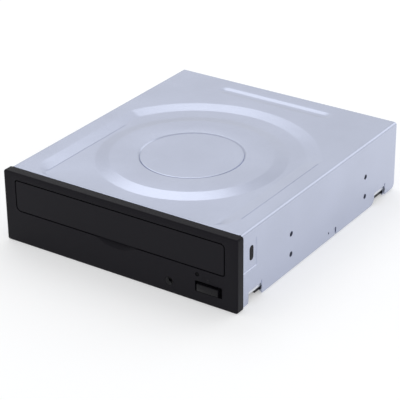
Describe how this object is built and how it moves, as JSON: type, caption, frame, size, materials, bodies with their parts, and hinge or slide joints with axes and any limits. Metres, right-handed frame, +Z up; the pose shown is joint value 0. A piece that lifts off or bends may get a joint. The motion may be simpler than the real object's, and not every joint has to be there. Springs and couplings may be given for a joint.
{
  "type": "internal disc writer",
  "caption": "Half-height internal disc writer: pressed steel case, black front with tray door and eject button; rack-driven tray, tilting lift frame, spindle and laser sled.",
  "frame": {"origin": "middle of the outer box's bottom, with the drive lying on its bottom cover", "axes": "+X to the right seen from the front, +Y from the bezel towards the rear, +Z up"},
  "size_m": [0.1482, 0.1682, 0.0417],
  "materials": {
    "zinc_steel": "zinc-plated sheet steel, satin",
    "bright_steel": "bright steel",
    "dark_steel": "dark coated steel",
    "black_case": "black moulded plastic, fine matt grain",
    "black_frame": "black glass-filled plastic",
    "white_gear": "off-white acetal",
    "grey_slider": "grey acetal",
    "rubber": "black rubber",
    "diecast": "die-cast, satin",
    "lens_glass": "coated glass lens",
    "smoked_clear": "smoked clear plastic",
    "board_green": "green circuit board",
    "chip_black": "black moulded plastic",
    "copper": "copper windings"
  },
  "bodies": {
    "drive": {"top_cover": "zinc_steel", "bottom_cover": "zinc_steel", "clamp_bridge": "zinc_steel", "loading_motor": "bright_steel", "cover_screw_front_left": "bright_steel", "cover_screw_rear_left": "bright_steel", "cover_screw_front_right": "bright_steel", "cover_screw_rear_right": "bright_steel", "bridge_screw_left": "bright_steel", "bridge_screw_right": "bright_steel", "front_bezel": "black_case", "loader_frame": "black_frame", "drive_belt": "rubber", "lamp_guide": "smoked_clear", "status_lamp": "smoked_clear", "main_board": "board_green", "switch_board": "board_green", "controller_chip": "chip_black", "motor_driver_chip": "chip_black", "memory_chip": "chip_black", "eject_switch": "chip_black", "sata_connector": "chip_black"},
    "tray": {"disc_tray": "black_frame", "tray_door": "black_case"},
    "drive_gear": {"drive_gear": "white_gear"},
    "pulley_gear": {"pulley_gear": "white_gear"},
    "motor_pulley": {"motor_pulley": "white_gear"},
    "cam_slider": {"cam_slider": "grey_slider"},
    "traverse": {"lift_frame": "black_frame", "traverse_chassis": "diecast", "spindle_base": "dark_steel", "spindle_stator": "copper", "sled_motor": "bright_steel", "guide_rod_left": "bright_steel", "guide_rod_right": "bright_steel", "damper_front_left": "rubber", "damper_rear_left": "rubber", "damper_front_right": "rubber", "damper_rear_right": "rubber", "damper_screw_front_left": "bright_steel", "damper_screw_rear_left": "bright_steel", "damper_screw_front_right": "bright_steel", "damper_screw_rear_right": "bright_steel"},
    "spindle": {"rotor_cup": "bright_steel", "turntable": "black_frame", "turntable_mat": "rubber"},
    "sled": {"pickup_sled": "diecast", "lens_holder": "black_frame", "objective_lens": "lens_glass", "screw_follower": "white_gear"},
    "lead_screw": {"lead_screw": "bright_steel"},
    "clamper": {"clamper": "black_frame", "clamp_yoke": "bright_steel"},
    "button": {"eject_button": "black_case"}
  },
  "joints": [
    {"name": "tray_slide", "type": "slide", "parent": "drive", "child": "tray", "axis": [0, -1, 0], "range_m": [0, 0.13]},
    {"name": "drive_gear_turn", "type": "hinge", "parent": "drive", "child": "drive_gear", "pos_m": [0.021, -0.0614, 0.0185], "axis": [0, 0, 1], "continuous": true},
    {"name": "pulley_gear_turn", "type": "hinge", "parent": "drive", "child": "pulley_gear", "pos_m": [0.0042, -0.0614, 0.0162], "axis": [0, 0, 1], "continuous": true},
    {"name": "motor_pulley_turn", "type": "hinge", "parent": "drive", "child": "motor_pulley", "pos_m": [-0.025, -0.0614, 0.0162], "axis": [0, 0, 1], "continuous": true},
    {"name": "lift_tilt", "type": "hinge", "parent": "drive", "child": "traverse", "pos_m": [0, 0.0686, 0.0125], "axis": [-1, 0, 0], "range_deg": [0, 4.89]},
    {"name": "cam_slide", "type": "slide", "parent": "drive", "child": "cam_slider", "axis": [1, 0, 0], "range_m": [0, 0.016]},
    {"name": "spindle_turn", "type": "hinge", "parent": "traverse", "child": "spindle", "pos_m": [0, -0.01434, 0.01995], "axis": [0, -0.0854, 0.9963], "continuous": true},
    {"name": "sled_slide", "type": "slide", "parent": "traverse", "child": "sled", "axis": [0, 0.9963, 0.0854], "range_m": [0, 0.034]},
    {"name": "lead_screw_turn", "type": "hinge", "parent": "traverse", "child": "lead_screw", "pos_m": [-0.0335, 0.00187, 0.00648], "axis": [0, 0.9963, 0.0854], "continuous": true},
    {"name": "clamper_turn", "type": "hinge", "parent": "drive", "child": "clamper", "pos_m": [0, -0.0134, 0.0307], "axis": [0, 0, 1], "continuous": true},
    {"name": "button_press", "type": "slide", "parent": "drive", "child": "button", "axis": [0, 1, 0], "range_m": [0, 0.0008], "stiffness_N_per_m": 300}
  ],
  "couplings": [
    {"joint": "drive_gear_turn", "follows": "tray_slide", "rad_per_m": -125},
    {"joint": "pulley_gear_turn", "follows": "tray_slide", "rad_per_m": 312.5},
    {"joint": "motor_pulley_turn", "follows": "tray_slide", "rad_per_m": 875},
    {"joint": "cam_slide", "follows": "lift_tilt", "m_per_rad": 0.1872},
    {"joint": "lead_screw_turn", "follows": "sled_slide", "rad_per_m": 2094.4}
  ]
}
